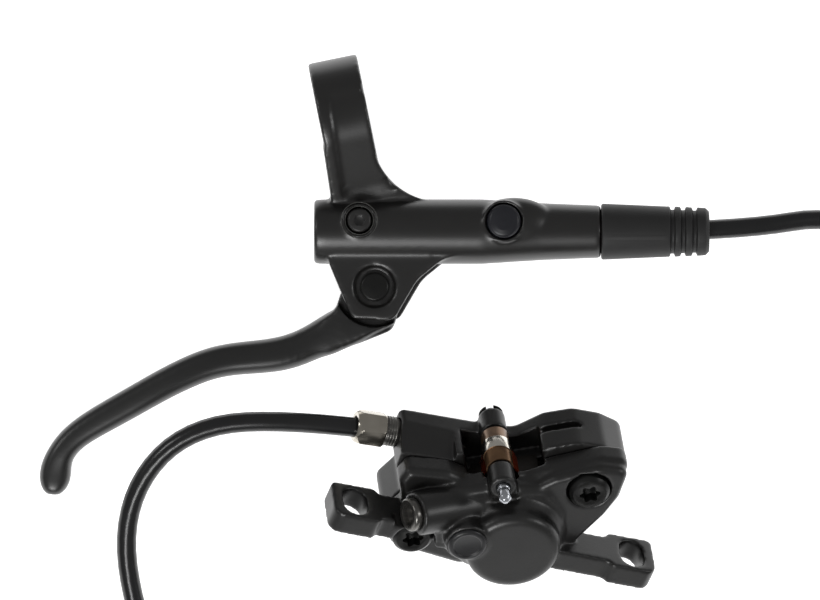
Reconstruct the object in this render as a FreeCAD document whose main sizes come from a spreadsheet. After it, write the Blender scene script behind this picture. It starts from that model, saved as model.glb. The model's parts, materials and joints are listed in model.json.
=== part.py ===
import FreeCAD, Part
import Sketcher
import math
import os
from types import SimpleNamespace

# A bicycle hydraulic disc brake: bar lever with its master cylinder, one hose, two-piston caliper.
# The brake lies on a flat surface, resting on the clamp lug and on the caliper.
# Row frame: origin at the centre of the bar clamp bore, X along the master cylinder towards the
# hose, Z up. The lever leans back by lever_tilt about X, because its blade reaches lower than its body.

V = FreeCAD.Vector
Placement = FreeCAD.Placement
Rotation = FreeCAD.Rotation

doc = FreeCAD.newDocument("disc_brake")
sheet = doc.addObject("Spreadsheet::Sheet", "sizes")

SIZES = (
    # how the brake lies, and the running clearances that its pieces share
    ("lever_tilt", 9.0),
    ("running_gap", 0.05),
    ("loose_gap", 0.3),
    # bar clamp
    ("bar_diameter", 22.2),
    ("clamp_wall", 3.6),
    ("clamp_width", 12.6),
    ("bar_angle", 11.5),
    ("clamp_slit", 2.0),
    ("clamp_bolt_drop", 15.8),
    ("clamp_bolt_diameter", 5.0),
    ("clamp_bolt_socket", 4.0),
    ("clamp_edge", 0.25),
    ("arm_foot_height", 3.2),
    ("arm_foot_reach", 7.0),
    ("lug_depth", 20.4),
    ("lug_thickness", 6.0),
    ("arm_left", 8.0),
    ("arm_right", 5.8),
    ("panel_depth", 0.7),
    ("panel_top", 5.5),
    # master cylinder
    ("cylinder_offset", 29.3),
    ("cylinder_left", 7.5),
    ("cylinder_straight", 35.0),
    ("cylinder_waist", 50.0),
    ("cylinder_right", 65.1),
    ("cylinder_radius", 8.2),
    ("waist_radius", 7.25),
    ("neck_radius", 6.65),
    ("bore_radius", 5.0),
    ("bore_end", 57.0),
    ("spigot_radius", 4.6),
    ("spigot_end", 72.5),
    ("passage_radius", 1.5),
    # lever pivot and blade
    ("pivot_x", 7.85),
    ("pivot_y", -43.3),
    ("pivot_radius", 2.5),
    ("pivot_cap_radius", 3.65),
    ("pivot_cap_height", 1.2),
    ("counterbore_radius", 5.2),
    ("ear_gap", 6.4),
    ("ear_thickness", 2.4),
    ("lower_ear_step", 1.2),
    ("eye_radius", 6.0),
    ("eye_clearance", 0.6),
    ("bush_radius", 3.4),
    ("bush_flange_radius", 4.6),
    ("bush_flange", 0.5),
    ("cam_width", 6.0),
    ("cam_thickness", 4.8),
    ("cam_travel", 5.7),
    ("blade_thickness", 10.2),
    ("tip_thickness", 8.2),
    ("tip_drop", 2.3),
    ("heel_thickness", 9.6),
    ("heel_clearance", 10.1),
    # master piston
    ("piston_stem_radius", 4.2),
    ("piston_stem_length", 7.6),
    ("piston_land", 1.8),
    ("piston_waist_length", 6.4),
    ("piston_waist_radius", 3.4),
    ("seal_groove_width", 2.2),
    ("seal_groove_radius", 3.6),
    ("spring_seat_radius", 2.6),
    ("spring_seat_length", 2.0),
    ("spring_wire", 1.0),
    ("spring_turns", 5.0),
    # screws and plugs of the lever body
    ("bleed_x", 4.0),
    ("bleed_y", -26.5),
    ("bleed_ring_radius", 4.3),
    ("bleed_ring_rise", 0.4),
    ("bleed_head_radius", 3.0),
    ("bleed_head_height", 1.5),
    ("bleed_socket", 2.5),
    ("bleed_depth", 4.6),
    ("plug_x", 40.5),
    ("plug_y", -26.7),
    ("plug_radius", 4.2),
    ("plug_ring_radius", 5.4),
    ("fairing_length", 10.5),
    ("fairing_width", 6.6),
    ("fairing_height", 5.0),
    ("fairing_base", 3.6),
    ("end_cap_radius", 6.0),
    ("end_cap_flange", 1.1),
    ("end_cap_depth", 3.5),
    # hose and its fittings
    ("hose_diameter", 5.0),
    ("nut_across_flats", 8.0),
    ("nut_hex_length", 7.4),
    ("nut_nose_radius", 3.5),
    ("olive_length", 3.0),
    ("olive_radius", 3.5),
    ("cover_start_radius", 7.1),
    ("cover_end_radius", 6.0),
    ("cover_length", 27.3),
    ("cover_groove", 0.8),
    ("coil_outer_turn", 28.5),
    # caliper: where it lies, in the lever's frame, then its own sizes
    ("caliper_x", 41.1),
    ("caliper_y", -99.7),
    ("caliper_roll", 9.32),
    ("caliper_tip", 41.85),
    ("caliper_piston_radius", 10.5),
    ("boss_radius", 12.0),
    ("boss_face", 16.0),
    ("cylinder_head_wall", 2.4),
    ("caliper_seal_width", 2.2),
    ("caliper_seal_depth", 1.2),
    ("caliper_seal_place", 7.2),
    ("window_half_width", 12.0),
    ("window_left", 8.2),
    ("window_right", 11.2),
    ("window_shelf", 12.4),
    ("opening_far", 9.5),
    ("opening_near", 2.2),
    ("window_half_depth", 5.4),
    ("window_bottom", -13.0),
    ("rotor_radius", 80.0),
    ("rotor_slot", 4.0),
    ("rotor_offset", 71.0),
    ("near_slab", 6.0),
    ("wing_face", 8.6),
    ("far_slab", 14.1),
    ("wing_groove_w", -7.5),
    ("wing_groove_half", 1.1),
    ("wing_groove_end", 20.9),
    ("wing_groove_floor", 16.6),
    ("right_bolt_u", 21.2),
    ("right_bolt_v", 10.3),
    ("right_bolt_seat", 5.9),
    ("left_bolt_u", -24.3),
    ("left_bolt_v", 5.8),
    ("left_bolt_seat", 6.7),
    ("body_bolt_radius", 3.0),
    ("body_bolt_head_radius", 5.1),
    ("body_bolt_head_height", 4.1),
    ("body_bolt_reach", 9.0),
    ("body_bolt_socket", 5.0),
    ("bolt_boss_radius", 6.2),
    ("ear_skew", 26.5),
    ("hole_spacing", 74.2),
    ("ear_shift", -4.3),
    ("post_face", -5.8),
    ("ear_plate", 6.3),
    ("ear_width", 12.2),
    ("ear_middle", 7.6),
    ("slot_width", 6.4),
    ("slot_length", 9.2),
    ("ear_end", 6.0),
    # pads, pin and spring
    ("rotor_gap", 1.2),
    ("friction_thickness", 2.1),
    ("plate_thickness", 1.9),
    ("pad_half_width", 11.6),
    ("pad_top", 11.8),
    ("pad_tab_half", 3.4),
    ("pad_bottom", -9.6),
    ("pin_v", 19.5),
    ("pin_radius", 1.6),
    ("lug_radius", 3.4),
    ("near_lug_start", 5.6),
    ("near_lug_end", 12.4),
    ("far_lug_start", 7.9),
    ("pin_end", 17.4),
    ("spring_sheet", 0.4),
    ("spring_band", 0.25),
    # bleed nipple, plug and hose port of the caliper
    ("nipple_u", -22.9),
    ("nipple_v", 15.2),
    ("nipple_w", 11.9),
    ("nipple_radius", 4.2),
    ("nipple_boss_radius", 5.6),
    ("nipple_lean", 29.0),
    ("nipple_boss_length", 19.0),
    ("caliper_plug_u", -11.1),
    ("caliper_plug_v", 6.3),
    ("caliper_plug_face", 16.2),
    ("caliper_plug_radius", 4.9),
    ("caliper_plug_seat", 0.45),
    ("port_u", -23.2),
    ("port_v", 23.5),
    ("port_w", -9.6),
    ("port_angle", 156.4),
    ("port_depth", 9.0),
    ("port_collar_radius", 3.7),
    ("port_stand", 1.25),
    ("seal_u", -17.5),
    ("seal_v", 17.0),
)

for row, (name, value) in enumerate(SIZES, start=1):
    sheet.set("A%d" % row, name)
    sheet.set("B%d" % row, str(value))
    sheet.setAlias("B%d" % row, name)
doc.recompute()
d = SimpleNamespace(**{name: float(sheet.get(name)) for name, value in SIZES})

nodes = []

# Turns the local Z axis of a primitive, or the local X axis of a turned body, to another axis.
Z_TO_X = Placement(V(0, 0, 0), Rotation(V(0, 1, 0), 90))
X_TO_Z = Placement(V(0, 0, 0), Rotation(V(0, 1, 0), -90))


def at(x, y, z):
    return Placement(V(x, y, z), Rotation())


def keep(label, shape, place):
    """Adds a piece whose shape is worked out here from the sheet."""
    piece = doc.addObject("Part::Feature", label)
    piece.Label = label
    piece.Shape = shape
    piece.Placement = place.multiply(shape.Placement)
    nodes.append(piece)
    return piece


def origin_plane(body, role):
    for plane in body.Origin.OriginFeatures:
        if plane.Role == role:
            return plane
    raise ValueError(role)


def turned(label, stations, place, is_node=True):
    """Adds a body turned about its X axis, from (along, radius) expressions on the sheet."""
    body = doc.addObject("PartDesign::Body", label)
    body.Label = label
    sketch = body.newObject("Sketcher::SketchObject", label + "_profile")
    sketch.AttachmentSupport = [(origin_plane(body, "XY_Plane"), "")]
    sketch.MapMode = "FlatFace"
    count = len(stations)
    for i in range(count):
        j = (i + 1) % count
        sketch.addGeometry(Part.LineSegment(V(1 + i, 1 + i * i, 0), V(1 + j, 1 + j * j, 0)))
    for i, (along, radius) in enumerate(stations):
        sketch.addConstraint(Sketcher.Constraint("Coincident", i, 2, (i + 1) % count, 1))
        for kind, axis, text in (("DistanceX", -2, along), ("DistanceY", -1, radius)):
            if text == "0":
                sketch.addConstraint(Sketcher.Constraint("PointOnObject", i, 1, axis))
            else:
                rule = sketch.addConstraint(Sketcher.Constraint(kind, -1, 1, i, 1, 1.0 + i))
                sketch.setExpression("Constraints[%d]" % rule, text)
    turn = body.newObject("PartDesign::Revolution", label + "_turn")
    turn.Profile = sketch
    turn.ReferenceAxis = (sketch, ["H_Axis"])
    turn.Angle = 360
    body.Placement = place
    if is_node:
        nodes.append(body)
    return body


def named(text):
    """Puts the sheet's name before each word of an expression."""
    words = []
    for word in text.split():
        words.append("sizes." + word if word[0].isalpha() else word)
    return " ".join(words)


def stations(*pairs):
    return [(named(along), named(radius)) for along, radius in pairs]


def outline(corners):
    """A closed wire of straight lines whose corners (x, y, radius) are rounded by arcs."""
    rounds = []
    for i, (x, y, radius) in enumerate(corners):
        here = V(x, y, 0)
        before = V(corners[i - 1][0], corners[i - 1][1], 0) - here
        after = V(corners[(i + 1) % len(corners)][0], corners[(i + 1) % len(corners)][1], 0) - here
        before.normalize()
        after.normalize()
        half = before.getAngle(after) / 2
        reach = radius / math.tan(half)
        inward = before + after
        inward.normalize()
        middle = here + inward * (radius / math.sin(half) - radius)
        rounds.append((here + before * reach, middle, here + after * reach, radius))
    edges = []
    for i, (start, middle, end, radius) in enumerate(rounds):
        if radius > 0:
            edges.append(Part.Arc(start, middle, end).toShape())
        following = rounds[(i + 1) % len(rounds)][0]
        if end.distanceToPoint(following) > 1e-6:
            edges.append(Part.LineSegment(end, following).toShape())
    return Part.Wire(edges)


def slab(corners, low, high):
    """An outline in XY, extruded from low to high along Z."""
    solid = Part.Face(outline(corners)).extrude(V(0, 0, high - low))
    solid.translate(V(0, 0, low))
    return solid


def profile_slab(corners, low, high):
    """An outline given as (y, z, radius), extruded from low to high along X."""
    solid = slab(corners, low, high)
    sideways = Placement(V(0, 0, 0), Rotation(V(0, 1, 0), V(0, 0, 1), V(1, 0, 0), "XYZ"))
    solid.Placement = sideways.multiply(solid.Placement)
    return solid


def bevelled(solid, height, size):
    """Bevels the rim that lies flat at one height."""
    cut = solid.makeChamfer(size, level_edges(solid, height))
    if not cut.isValid() or len(cut.Solids) != 1:
        raise RuntimeError("bevel of %.1f at %.1f failed" % (size, height))
    return cut


def box(x0, x1, y0, y1, z0, z1):
    return Part.makeBox(x1 - x0, y1 - y0, z1 - z0, V(x0, y0, z0))


def round_bar(radius, start, end):
    return Part.makeCylinder(radius, start.distanceToPoint(end), start, end - start)


def turned_shape(points):
    """A solid of revolution about X from (x, radius) points."""
    corners = [V(x, radius, 0) for x, radius in points]
    face = Part.Face(Part.makePolygon(corners + [corners[0]]))
    return face.revolve(V(0, 0, 0), V(1, 0, 0), 360)


def level_edges(shape, height):
    """The edges that lie flat at one height."""
    found = []
    for edge in shape.Edges:
        limits = edge.BoundBox
        if abs(limits.ZMin - height) < 1e-4 and abs(limits.ZMax - height) < 1e-4:
            found.append(edge)
    return found


# The lever's own frame: x along the master cylinder, y towards the rider, z out of the top face.
lever = Placement(V(0, 0, 0), Rotation(V(1, 0, 0), d.lever_tilt))
bar_radius = d.bar_diameter / 2
clamp_radius = bar_radius + d.clamp_wall
bar_axis = V(math.cos(math.radians(d.bar_angle)), math.sin(math.radians(d.bar_angle)), 0)
# The clamp's frame: x along the bar, y away from the master cylinder, z as the lever's.
clamp = Placement(V(0, 0, 0), Rotation(V(0, 0, 1), d.bar_angle))
cylinder_axis = at(0, -d.cylinder_offset, 0)
ear_low = d.ear_gap / 2
ear_top = ear_low + d.ear_thickness
lug_line = lever.multVec(V(0, -d.lug_thickness - d.clamp_slit / 2, -d.lug_depth))
floor = lug_line.z


def arm_side(ring, foot_drop, far, low_back):
    """Side view of the clamp arm, (y, z): its front runs from the ring's tangent to the barrel's flank."""
    foot_y = -far + d.arm_foot_reach
    foot_z = d.arm_foot_height - foot_drop
    reach = math.hypot(foot_y, foot_z)
    lean = math.atan2(foot_z, foot_y) - math.acos(ring / reach)
    return (
        (ring * math.cos(lean), ring * math.sin(lean), 0),
        (0, 0, 0),
        (-ring * 0.8, -low_back, 2),
        (-far * 0.8, -low_back * 0.75, 1),
        (-far, 0, 0),
        (foot_y, foot_z, 0),
    )


def clamp_arm():
    far = d.cylinder_offset / math.cos(math.radians(d.bar_angle))
    side = profile_slab(arm_side(clamp_radius, 0, far, 7.8), -40, 60)
    flare_start = V(d.arm_right, -9.0, 0)
    flare_middle = V(d.arm_right + 3.1, -19.0, 0)
    flare_end = V(d.arm_right + 10.2, -far + 5.0, 0)
    plan = Part.Wire([
        Part.LineSegment(V(-d.clamp_width / 2, 0, 0), V(-d.arm_left, -far - 3, 0)).toShape(),
        Part.LineSegment(V(-d.arm_left, -far - 3, 0), V(flare_end.x, -far - 3, 0)).toShape(),
        Part.LineSegment(V(flare_end.x, -far - 3, 0), flare_end).toShape(),
        Part.Arc(flare_end, flare_middle, flare_start).toShape(),
        Part.LineSegment(flare_start, V(d.clamp_width / 2, 0, 0)).toShape(),
        Part.LineSegment(V(d.clamp_width / 2, 0, 0), V(-d.clamp_width / 2, 0, 0)).toShape(),
    ])
    web = Part.Face(plan).extrude(V(0, 0, 80))
    web.translate(V(0, 0, -40))
    ring = round_bar(clamp_radius, V(-d.clamp_width / 2, 0, 0), V(d.clamp_width / 2, 0, 0))
    rims = [edge for edge in ring.Edges if edge.Closed and edge.Length > 1]
    ring = ring.makeChamfer(d.clamp_edge, rims)
    lug_half = d.lug_thickness + d.clamp_slit / 2
    lug_side = d.clamp_width / 2 - 0.6
    lug = profile_slab(
        ((-lug_half, -8, 0), (lug_half, -8, 0), (lug_half, -d.lug_depth, 0.8),
         (-lug_half, -d.lug_depth, 0)), -lug_side, lug_side)
    body = side.common(web).fuse([ring, lug])
    inner = profile_slab(arm_side(clamp_radius - d.panel_depth, d.panel_depth, far, 7), -40, 60)
    core = round_bar(clamp_radius - d.panel_depth, V(-40, 0, 0), V(60, 0, 0))
    panel = slab(((-2.9, d.panel_top, 0.5), (-4.2, -far + 9.4, 1.5), (30, -far + 9.4, 0),
                  (30, d.panel_top, 0)), 0, 30)
    body = body.cut(panel.cut(inner.fuse(core)))
    body = body.cut(round_bar(bar_radius, V(-20, 0, 0), V(20, 0, 0)))
    body = body.cut(box(-20, 20, -d.clamp_slit / 2, d.clamp_slit / 2, -30, -bar_radius + 2))
    across = V(0, lug_half + 10, -d.clamp_bolt_drop)
    middle = V(0, 0, -d.clamp_bolt_drop)
    threaded = V(0, -lug_half - 1, -d.clamp_bolt_drop)
    body = body.cut(round_bar(d.clamp_bolt_diameter / 2 + d.loose_gap, middle, across))
    body = body.cut(round_bar(d.clamp_bolt_diameter / 2 + d.running_gap, threaded, middle))
    seat = V(0, lug_half, -d.clamp_bolt_drop)
    body = body.cut(round_bar(d.clamp_bolt_diameter * 0.85 + d.loose_gap, seat, across))
    body.Placement = clamp
    return body


def lever_ear(low, high, step):
    """One pivot ear, seen from above, with its outer edge moved out by step."""
    return slab((
        (-3.8, -31, 0), (-3.8, -37.2, 2), (2.1, -51.3, 1.2), (12.6 + step, -51.9, 3),
        (18.6 + step, -41.6, 9), (25.0 + step, -36.4, 7), (30, -35.2, 0), (30, -31, 0)), low, high)


def reservoir_fairing():
    """The smooth swelling that carries the round plug and runs out along the barrel."""
    swelling = Part.makeSphere(1.0)
    stretch = FreeCAD.Matrix()
    stretch.scale(d.fairing_length, d.fairing_width, d.fairing_height)
    stretch.move(V(d.plug_x + 2.6, d.plug_y - 0.6, d.fairing_base))
    return swelling.transformGeometry(stretch)


def lever_body():
    right = d.cylinder_right
    barrel = turned_shape((
        (-d.cylinder_left, 0), (-d.cylinder_left, d.cylinder_radius - 0.5),
        (-d.cylinder_left + 0.5, d.cylinder_radius - 0.1), (-d.cylinder_left + 2.5, d.cylinder_radius),
        (d.cylinder_straight, d.cylinder_radius), (d.cylinder_waist, d.waist_radius),
        (right, d.neck_radius), (right, d.spigot_radius), (d.spigot_end, d.spigot_radius),
        (d.spigot_end, 0)))
    barrel.Placement = cylinder_axis
    bleed_ring = round_bar(d.bleed_ring_radius, V(d.bleed_x, d.bleed_y, 0),
                           V(d.bleed_x, d.bleed_y, d.cylinder_radius + d.bleed_ring_rise))
    plug_ring = round_bar(d.plug_ring_radius, V(d.plug_x, d.plug_y, 0),
                          V(d.plug_x, d.plug_y, d.cylinder_radius + 0.1))
    body = barrel.fuse([
        clamp_arm(), bleed_ring, plug_ring, reservoir_fairing(),
        lever_ear(ear_low, ear_top, 0), lever_ear(-ear_top, -ear_low, d.lower_ear_step)])
    pivot = V(d.pivot_x, d.pivot_y, 0)
    up = V(0, 0, 1)
    clear = d.eye_radius + d.eye_clearance
    cam_left = d.pivot_x - d.cam_width / 2 - d.eye_clearance
    cam_right = d.pivot_x + d.cam_width / 2 + d.cam_travel + d.eye_clearance * 2
    cam_half = d.cam_thickness / 2 + d.loose_gap
    axis_y = -d.cylinder_offset
    cuts = [
        round_bar(clear, pivot - up * ear_low, pivot + up * ear_low),
        round_bar(d.bore_radius, V(-d.cylinder_left - 1, axis_y, 0), V(d.bore_end, axis_y, 0)),
        round_bar(d.end_cap_radius + d.running_gap, V(-d.cylinder_left - 1, axis_y, 0),
                  V(-d.cylinder_left + d.end_cap_flange + 0.3, axis_y, 0)),
        round_bar(d.passage_radius, V(d.bore_end - 1, axis_y, 0), V(d.spigot_end + 1, axis_y, 0)),
        round_bar(d.olive_radius + d.running_gap * 2, V(d.spigot_end - 6.4, axis_y, 0),
                  V(d.spigot_end + 1, axis_y, 0)),
        box(cam_left, cam_right, axis_y - d.cylinder_radius - 1, axis_y, -cam_half, cam_half),
        round_bar(d.pivot_radius + d.running_gap, pivot - up * 20, pivot + up * 20),
        round_bar(d.counterbore_radius, pivot + up * (ear_top - d.pivot_cap_height), pivot + up * 20),
        Part.makeCone(d.counterbore_radius, d.counterbore_radius + 0.6, 0.6,
                      pivot + up * (ear_top - 0.5)),
        round_bar(d.bleed_ring_radius - 0.7, V(d.bleed_x, d.bleed_y, d.cylinder_radius - 1.4),
                  V(d.bleed_x, d.bleed_y, 20)),
        round_bar(d.bleed_head_radius * 0.6,
                  V(d.bleed_x, d.bleed_y, d.cylinder_radius - d.bleed_depth / 2 - 1.4),
                  V(d.bleed_x, d.bleed_y, 20)),
        round_bar(d.plug_radius + 0.35, V(d.plug_x, d.plug_y, d.cylinder_radius - 1.6),
                  V(d.plug_x, d.plug_y, 20)),
    ]
    body = body.cut(cuts)
    return body.removeSplitter()


keep("lever_body", lever_body(), lever)

# The blade's stations along its length: centre (x, y) and width in the top view.
BLADE = (
    (0.1, -53.3, 9.9),
    (-9.3, -58.0, 8.9),
    (-20.0, -60.8, 8.5),
    (-31.5, -62.2, 8.1),
    (-42.5, -66.4, 7.8),
    (-53.3, -72.3, 7.6),
    (-62.8, -77.7, 7.3),
    (-69.0, -82.2, 6.8),
    (-72.2, -87.0, 7.2),
    (-73.2, -91.6, 7.8),
    (-73.6, -94.6, 5.6),
    (-73.7, -95.9, 2.4),
)
SECTION_POINTS = 16


def blade_section(index):
    """A rounded section of the blade, square to its heading."""
    x, y, width = BLADE[index]
    before = BLADE[max(index - 1, 0)]
    after = BLADE[min(index + 1, len(BLADE) - 1)]
    along = min(1.0, index / (len(BLADE) - 3.0))
    thickness = d.blade_thickness + (d.tip_thickness - d.blade_thickness) * along
    thickness *= min(1.0, 0.25 + 0.75 * width / 6.7)
    drop = -d.tip_drop * along ** 2
    side = math.atan2(after[1] - before[1], after[0] - before[0]) + math.pi / 2
    points = []
    for step in range(SECTION_POINTS):
        turn = 2 * math.pi * step / SECTION_POINTS
        across = math.copysign(abs(math.cos(turn)) ** 0.72, math.cos(turn)) * width / 2
        rise = math.copysign(abs(math.sin(turn)) ** 0.72, math.sin(turn)) * thickness / 2
        points.append(V(x + math.cos(side) * across, y + math.sin(side) * across, drop + rise))
    curve = Part.BSplineCurve()
    curve.interpolate(Points=points, PeriodicFlag=True)
    return Part.Wire(curve.toShape())


def lever_blade():
    finger = Part.makeLoft([blade_section(i) for i in range(len(BLADE))], True, False)
    half = d.ear_gap / 2 - d.bush_flange - 0.1
    root = slab((
        (-0.6, -44.5, 3), (-2.2, -49.2, 1), (-3.5, -56, 1), (3, -58.0, 2), (12.4, -54.2, 3),
        (14.6, -47, 4), (d.pivot_x + 5, -39.5, 4), (d.pivot_x - 5, -39.5, 4)), -half, half)
    pivot = V(d.pivot_x, d.pivot_y, 0)
    up = V(0, 0, 1)
    eye = round_bar(d.eye_radius, pivot - up * half, pivot + up * half)
    cam_tip = V(d.pivot_x, -d.cylinder_offset, 0)
    cam_half = d.cam_thickness / 2
    cam = box(d.pivot_x - d.cam_width / 2, d.pivot_x + d.cam_width / 2,
              d.pivot_y, cam_tip.y, -cam_half, cam_half)
    tip = round_bar(d.cam_width / 2, cam_tip - up * cam_half, cam_tip + up * cam_half)
    near_eye = round_bar(d.eye_radius, pivot - up * half, pivot + up * half)
    throat = box(-10, 30, d.pivot_y + 0.5, -30, -20, 20).cut(near_eye)
    heel = slab((
        (-6.4, -51.9, 1.3), (-2.7, -49.4, 1.3), (-0.9, -46.8, 1), (13.0, -49.0, 1.2),
        (13.4, -52.3, 1.2), (7.9, -55.0, 4), (2.5, -58.0, 4), (-5.0, -61.4, 1.3)),
        -d.heel_thickness / 2, d.heel_thickness / 2)
    heel = bevelled(heel, d.heel_thickness / 2, 0.9)
    heel = bevelled(heel, -d.heel_thickness / 2, 0.9)
    swing = round_bar(d.heel_clearance, pivot - up * 20, pivot + up * 20)
    blade = finger.cut(swing).fuse([heel.cut(swing), root.cut(throat), eye, cam, tip])
    bush_hole = round_bar(d.bush_radius, pivot - up * 10, pivot + up * 10)
    return blade.cut(bush_hole).removeSplitter()


def seal_ring(middle, half):
    """A small sealing ring about Z."""
    corners = []
    for corner in range(9):
        turn = math.radians(45 * corner + 22.5)
        corners.append(V(middle + half * math.cos(turn), 0, half * math.sin(turn)))
    return Part.Face(Part.makePolygon(corners)).revolve(V(0, 0, 0), V(0, 0, 1), 360)


def lever_pieces():
    keep("lever_blade", lever_blade(), lever)
    pivot = at(d.pivot_x, d.pivot_y, 0)
    pin_low = ear_top + 1.4
    turned("pivot_pin", stations(
        ("0", "0"), ("0", "pivot_radius - 0.4"), ("0.4", "pivot_radius"),
        ("0.4 + 0.3", "pivot_radius"), ("0.4 + 0.3", "pivot_radius - 0.5"),
        ("0.4 + 0.3 + 0.7", "pivot_radius - 0.5"), ("0.4 + 0.3 + 0.7", "pivot_radius"),
        ("1.4 + ear_gap + ear_thickness * 2 - pivot_cap_height", "pivot_radius"),
        ("1.4 + ear_gap + ear_thickness * 2 - pivot_cap_height", "pivot_cap_radius"),
        ("1.4 + ear_gap + ear_thickness * 2", "pivot_cap_radius"),
        ("1.8 + ear_gap + ear_thickness * 2", "pivot_cap_radius - 0.5"),
        ("1.8 + ear_gap + ear_thickness * 2", "0")),
        lever * pivot * at(0, 0, -pin_low) * X_TO_Z)
    ring = Part.makeCylinder(d.pivot_radius + 1.6, 0.6).cut(
        Part.makeCylinder(d.pivot_radius - 0.45, 0.6))
    ring = ring.cut(box(-d.pivot_radius * 0.6, d.pivot_radius * 0.6, 0, 10, -1, 2))
    keep("pivot_circlip", ring, lever * pivot * at(0, 0, -ear_top - 0.65))
    bush_half = d.ear_gap / 2 - 0.05
    flange = d.bush_flange
    bush = Part.makeCylinder(d.bush_radius - 0.03, bush_half - flange - 0.2, V(0, 0, 0.2)).fuse(
        Part.makeCylinder(d.bush_flange_radius, flange, V(0, 0, bush_half - flange)))
    bush = bush.cut(Part.makeCylinder(d.pivot_radius + d.running_gap, 20, V(0, 0, -10)))
    lower = bush.mirror(V(0, 0, 0), V(0, 0, 1))
    keep("pivot_bushes", Part.makeCompound([bush.removeSplitter(), lower.removeSplitter()]),
         lever * pivot)

    start = d.pivot_x + d.cam_width / 2 + 0.1
    land = "piston_land"
    rear = "piston_stem_length + " + land
    groove = rear + " + seal_groove_width"
    waist = groove + " + " + land
    front = waist + " + piston_waist_length + " + land
    nose = front + " + seal_groove_width"
    outer = "bore_radius - running_gap"
    turned("master_piston", stations(
        ("0", "0"), ("0", "piston_stem_radius"), ("piston_stem_length", "piston_stem_radius"),
        ("piston_stem_length", outer), (rear, outer), (rear, "seal_groove_radius"),
        (groove, "seal_groove_radius"), (groove, outer), (waist, outer),
        (waist, "piston_waist_radius"), (waist + " + piston_waist_length", "piston_waist_radius"),
        (waist + " + piston_waist_length", outer), (front, outer), (front, "seal_groove_radius"),
        (nose, "seal_groove_radius"), (nose, outer), (nose + " + " + land, outer),
        (nose + " + " + land, "spring_seat_radius"),
        (nose + " + " + land + " + spring_seat_length", "spring_seat_radius"),
        (nose + " + " + land + " + spring_seat_length", "0")),
        lever * cylinder_axis * at(start, 0, 0))
    rear_at = d.piston_stem_length + d.piston_land
    front_at = rear_at + d.seal_groove_width + d.piston_land * 2 + d.piston_waist_length
    for label, along in (("secondary_seal", rear_at), ("primary_seal", front_at)):
        turned(label, stations(
            ("0.1", "seal_groove_radius + 0.03"), ("0.1", "bore_radius - 0.6"),
            ("0.9", "bore_radius - 0.02"), ("seal_groove_width - 0.1", "bore_radius - 0.02"),
            ("seal_groove_width - 0.1", "seal_groove_radius + 0.03")),
            lever * cylinder_axis * at(start + along, 0, 0))
    spring_start = start + front_at + d.seal_groove_width + d.piston_land
    spring_length = d.bore_end - spring_start - d.spring_wire
    coil_radius = d.spring_seat_radius + 0.15 + d.spring_wire / 2
    helix = Part.makeHelix(spring_length / d.spring_turns, spring_length, coil_radius)
    wire = []
    for corner in range(7):
        turn = math.radians(60 * corner)
        wire.append(V(coil_radius + d.spring_wire / 2 * math.cos(turn), 0, d.spring_wire / 2 * math.sin(turn)))
    section = Part.makePolygon(wire)
    spring = Part.Wire(helix).makePipeShell([section], True, True)
    keep("master_spring", spring,
         lever * cylinder_axis * at(spring_start + d.spring_wire / 2, 0, 0) * Z_TO_X)

    turned("cylinder_end_cap", stations(
        ("0", "0"), ("0", "end_cap_radius - 1.6"), ("0.5", "end_cap_radius - 0.4"),
        ("end_cap_flange", "end_cap_radius"), ("end_cap_flange", "bore_radius - 0.02"),
        ("end_cap_flange + end_cap_depth", "bore_radius - 0.02"),
        ("end_cap_flange + end_cap_depth", "0")),
        lever * cylinder_axis * at(-d.cylinder_left + 0.25, 0, 0))

    screw_foot = d.cylinder_radius - 1.4 - d.bleed_depth / 2
    blank = turned("bleed_screw_blank", stations(
        ("0.1", "0"), ("0.1", "bleed_head_radius * 0.6 - 0.05"),
        ("bleed_depth / 2 + 0.7", "bleed_head_radius * 0.6 - 0.05"),
        ("bleed_depth / 2 + 0.7", "bleed_head_radius"),
        ("bleed_depth / 2 + 0.3 + bleed_head_height", "bleed_head_radius"),
        ("bleed_depth / 2 + 0.7 + bleed_head_height", "bleed_head_radius - 0.4"),
        ("bleed_depth / 2 + 0.7 + bleed_head_height", "0")),
        lever * at(d.bleed_x, d.bleed_y, screw_foot) * X_TO_Z, False)
    socketed("bleed_screw", blank, "bleed_socket",
             lever * at(d.bleed_x, d.bleed_y, screw_foot + d.bleed_depth / 2 + 1.0))
    keep("bleed_screw_seal", seal_ring(d.bleed_head_radius * 0.6 + 0.42, 0.32),
         lever * at(d.bleed_x, d.bleed_y, d.cylinder_radius - 1.04))
    turned("reservoir_plug", stations(
        ("0", "0"), ("0", "plug_radius + 0.2"), ("0.9", "plug_radius + 0.2"),
        ("0.9", "plug_radius"), ("1.9", "plug_radius"), ("2.5", "plug_radius - 0.6"),
        ("2.8", "plug_radius - 1.9"), ("2.9", "0")),
        lever * at(d.plug_x, d.plug_y, d.cylinder_radius - 1.55) * X_TO_Z)

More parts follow.
